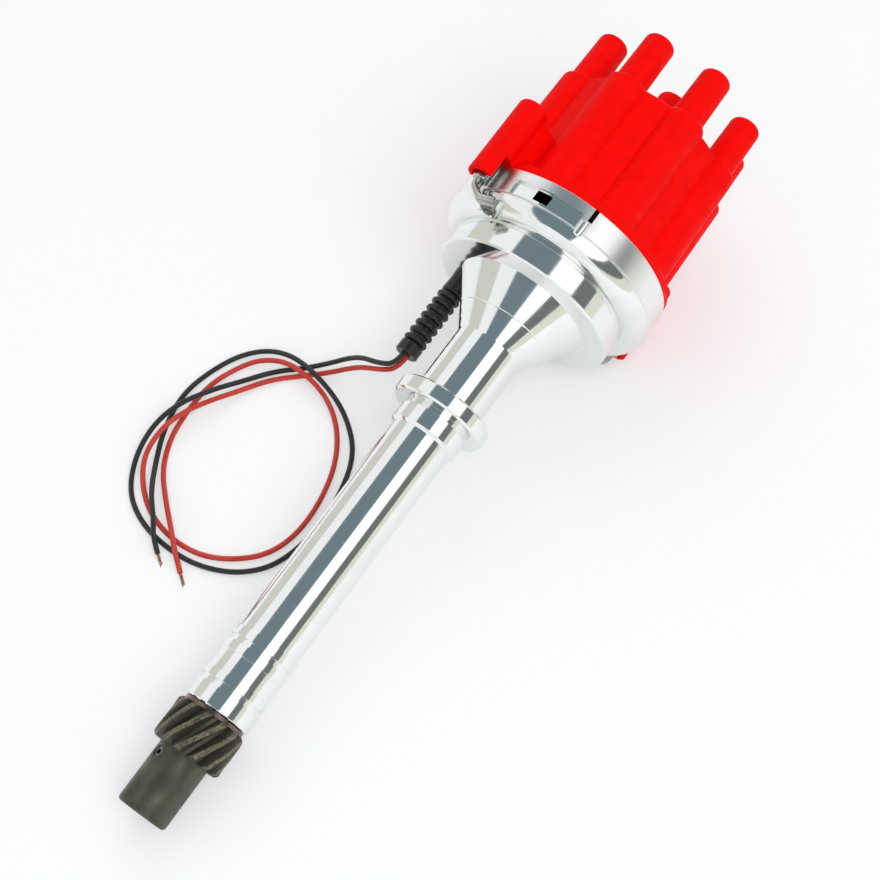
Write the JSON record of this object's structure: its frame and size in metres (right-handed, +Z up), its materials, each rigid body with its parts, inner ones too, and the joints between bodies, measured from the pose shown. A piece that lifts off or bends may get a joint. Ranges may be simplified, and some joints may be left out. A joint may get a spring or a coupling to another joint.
{
  "type": "ignition distributor",
  "caption": "Ignition distributor lying on its side: machined aluminium housing with a long shank, helical drive gear, red towered cap with screw-down latches and a loose pair of pickup leads.",
  "frame": {"origin": "centre of the footprint of the lying body, leads left out, at the surface it rests on", "axes": "+Z up; the shaft runs along X and rises 8.14 degrees from the gear at -X to the cap at +X; the boot and the loose leads lie on the +Y side"},
  "size_m": [0.3818, 0.1629, 0.1088],
  "materials": {
    "machined_aluminium": "polished",
    "sintered_bronze": "matte",
    "seal_rubber": "matte",
    "bearing_steel": "polished",
    "cage_steel": "satin",
    "spring_steel": "satin",
    "ground_steel": "satin",
    "phosphated_steel": "matte",
    "copper_washer": "satin",
    "zinc_plated_steel": "satin",
    "pickup_plastic": "matte",
    "core_steel": "matte",
    "sintered_steel": "matte",
    "brass_fitting": "satin",
    "rotor_plastic": "satin",
    "red_cap_plastic": "satin",
    "carbon": "matte",
    "boot_rubber": "satin",
    "black_insulation": "satin",
    "red_insulation": "satin",
    "tinned_copper": "satin"
  },
  "bodies": {
    "stator": {"housing": "machined_aluminium", "lower_bushing": "sintered_bronze", "oil_seal": "seal_rubber", "bearing_outer_ring": "bearing_steel", "bearing_circlip": "spring_steel", "pickup_plate": "zinc_plated_steel", "pickup_plate_screws": "zinc_plated_steel", "pickup_coil": "pickup_plastic", "pickup_pole_piece": "core_steel", "cap": "red_cap_plastic", "outer_terminals": "brass_fitting", "centre_terminal": "brass_fitting", "carbon_button": "carbon", "button_spring": "spring_steel", "strain_relief": "boot_rubber", "latch_spring_a": "spring_steel", "latch_spring_b": "spring_steel", "black_lead": "black_insulation", "red_lead": "red_insulation", "stripped_ends": "tinned_copper"},
    "shaft": {"drive_shaft": "ground_steel", "drive_gear": "phosphated_steel", "gear_roll_pin": "spring_steel", "thrust_washers": "copper_washer", "bearing_inner_ring": "bearing_steel", "advance_cam": "sintered_steel", "cam_clip": "spring_steel", "stop_bushing": "brass_fitting", "advance_spring_a": "spring_steel", "advance_spring_b": "spring_steel"},
    "ball_cage": {"bearing_cage": "cage_steel", "bearing_balls": "bearing_steel"},
    "advance": {"advance_sleeve": "ground_steel", "weight_pins": "ground_steel", "reluctor": "core_steel", "rotor": "rotor_plastic", "rotor_blade": "brass_fitting", "rotor_leaf": "spring_steel", "rotor_screws": "zinc_plated_steel"},
    "weight_a": {"advance_weight_a": "sintered_steel"},
    "weight_b": {"advance_weight_b": "sintered_steel"},
    "push_washer_a": {"latch_washer_a": "zinc_plated_steel"},
    "push_washer_b": {"latch_washer_b": "zinc_plated_steel"},
    "latch_a": {"latch_a": "zinc_plated_steel"},
    "latch_b": {"latch_b": "zinc_plated_steel"}
  },
  "joints": [
    {"name": "shaft_spin", "type": "hinge", "parent": "stator", "child": "shaft", "pos_m": [0.00283, 0, 0.03875], "axis": [0.9899, 0, 0.1416], "continuous": true},
    {"name": "cage_spin", "type": "hinge", "parent": "stator", "child": "ball_cage", "pos_m": [0.00283, 0, 0.03875], "axis": [0.9899, 0, 0.1416], "continuous": true},
    {"name": "advance_turn", "type": "hinge", "parent": "shaft", "child": "advance", "pos_m": [0.10182, 0, 0.05291], "axis": [0.9899, 0, 0.1416], "range_deg": [0, 10.5], "deforming": ["advance_spring_a", "advance_spring_b"]},
    {"name": "weight_swing_a", "type": "hinge", "parent": "advance", "child": "weight_a", "pos_m": [0.10245, -0.00855, 0.07673], "axis": [-0.9899, 0, -0.1416], "range_deg": [0, 14.7]},
    {"name": "weight_swing_b", "type": "hinge", "parent": "advance", "child": "weight_b", "pos_m": [0.10911, 0.00855, 0.03022], "axis": [-0.9899, 0, -0.1416], "range_deg": [0, 14.7]},
    {"name": "latch_push_a", "type": "slide", "parent": "stator", "child": "push_washer_a", "axis": [-0.9899, 0, -0.1416], "range_m": [0, 0.003], "deforming": ["latch_spring_a"]},
    {"name": "latch_turn_a", "type": "hinge", "parent": "push_washer_a", "child": "latch_a", "pos_m": [0.09555, 0.03215, 0.09672], "axis": [-0.9899, 0, -0.1416], "range_deg": [0, 110]},
    {"name": "latch_push_b", "type": "slide", "parent": "stator", "child": "push_washer_b", "axis": [-0.9899, 0, -0.1416], "range_m": [0, 0.003], "deforming": ["latch_spring_b"]},
    {"name": "latch_turn_b", "type": "hinge", "parent": "push_washer_b", "child": "latch_b", "pos_m": [0.10809, -0.03215, 0.0091], "axis": [-0.9899, 0, -0.1416], "range_deg": [0, 110]}
  ],
  "couplings": [
    {"joint": "cage_spin", "follows": "shaft_spin", "ratio": 0.385},
    {"joint": "weight_swing_a", "follows": "advance_turn", "ratio": 1.4},
    {"joint": "weight_swing_b", "follows": "advance_turn", "ratio": 1.4}
  ]
}
